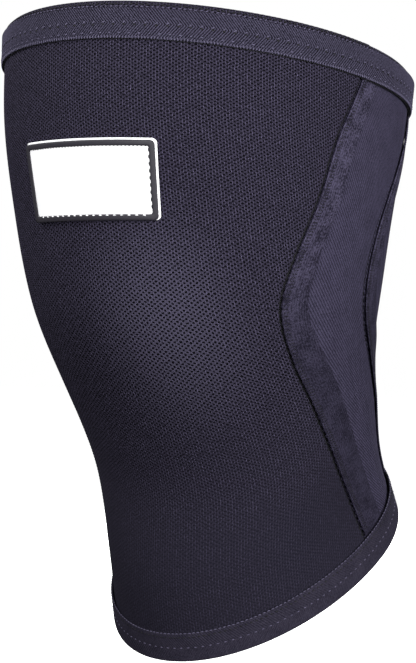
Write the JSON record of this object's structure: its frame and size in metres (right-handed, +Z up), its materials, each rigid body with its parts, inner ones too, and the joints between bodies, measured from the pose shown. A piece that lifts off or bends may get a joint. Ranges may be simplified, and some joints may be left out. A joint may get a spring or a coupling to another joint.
{
  "type": "knee sleeve",
  "caption": "Padded knit knee sleeve held in its worn, slightly bent form: an open tube with hourglass side panels, seam strips, hem tapes and a blank framed label patch.",
  "frame": {"origin": "on the leg's middle line inside the hollow, in the middle of the knee, where the knee itself sits", "axes": "+Z up the leg, -Y to the front, where the kneecap is, and +X to the side panel that the picture shows in full"},
  "size_m": [0.1586, 0.1716, 0.2512],
  "materials": {
    "mesh_knit": "near-black navy mesh knit bonded to padded foam, matte with fine thread glints",
    "side_knit": "near-black navy fine ribbed knit, matte",
    "suede_strip": "brushed, suede-like tape, matte",
    "hem_twill": "herringbone twill tape, matte with a faint sheen",
    "label_white": "soft moulded patch, satin white",
    "label_black": "soft moulded border, satin charcoal"
  },
  "bodies": {
    "root": {"front_panel": "mesh_knit", "side_panel_right": "side_knit", "side_panel_left": "side_knit", "back_panel": "side_knit", "front_strip_right": "suede_strip", "front_strip_left": "suede_strip", "rear_strip_right": "suede_strip", "rear_strip_left": "suede_strip", "top_hem_tape": "hem_twill", "bottom_hem_tape": "hem_twill", "label_patch": "label_white", "label_frame": "label_black"}
  },
  "joints": []
}
